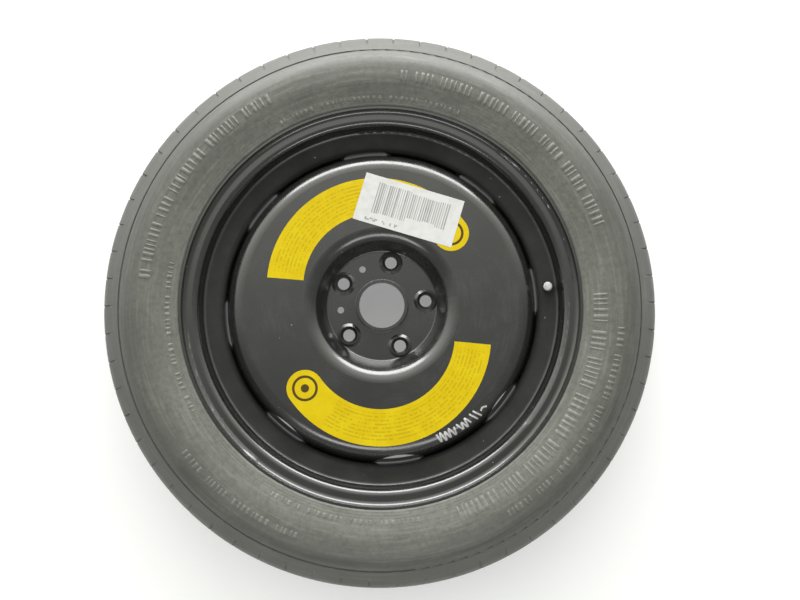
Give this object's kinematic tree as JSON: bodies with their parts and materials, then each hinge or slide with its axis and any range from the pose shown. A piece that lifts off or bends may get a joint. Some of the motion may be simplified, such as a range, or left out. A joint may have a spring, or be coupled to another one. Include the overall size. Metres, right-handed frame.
{
  "type": "spare wheel",
  "caption": "Narrow temporary spare wheel: tyre on a painted steel rim and dished disc with hub bore, ball-seat bolt holes, edge vents, capped tyre valve and stuck-on labels.",
  "frame": {"origin": "centre of the hub bore on the face that meets the hub", "axes": "+Z along the wheel's axis, out of the outer face, which lies up; +X towards the valve and one bolt hole"},
  "size_m": [0.7038, 0.7038, 0.145],
  "materials": {
    "tyre_rubber": "matte",
    "black_paint": "gloss",
    "valve_rubber": "satin",
    "seal_rubber": "matte",
    "brass": "satin",
    "spring_steel": "satin",
    "cap_plastic": "matte",
    "yellow_film": "satin",
    "white_paper": "matte"
  },
  "bodies": {
    "wheel": {"tyre": "tyre_rubber", "wheel_rim": "black_paint", "wheel_disc": "black_paint", "disc_welds": "black_paint", "valve_sleeve": "valve_rubber", "valve_stem": "brass", "core_body": "brass", "core_seal": "seal_rubber", "core_spring": "spring_steel", "lower_label": "yellow_film", "upper_label": "yellow_film", "bar_label": "white_paper"},
    "valve_pin": {"core_pin": "brass", "pin_seal": "seal_rubber"},
    "cap_washer": {"cap_seal": "seal_rubber"},
    "cap": {"valve_cap": "cap_plastic"}
  },
  "joints": [
    {"name": "pin_press", "type": "slide", "parent": "wheel", "child": "valve_pin", "axis": [0.2588, 0, -0.9659], "range_m": [0, 0.001], "stiffness_N_per_m": 800, "springref_m": -0.001, "deforming": ["core_spring"]},
    {"name": "cap_lift", "type": "slide", "parent": "wheel", "child": "cap_washer", "axis": [-0.2588, 0, 0.9659], "range_m": [0, 0.00794]},
    {"name": "cap_turn", "type": "hinge", "parent": "cap_washer", "child": "cap", "pos_m": [0.20782, 0, 0.02831], "axis": [-0.2588, 0, 0.9659], "range_deg": [0, 3602]}
  ],
  "couplings": [
    {"joint": "cap_turn", "follows": "cap_lift", "rad_per_m": 7915.8}
  ]
}
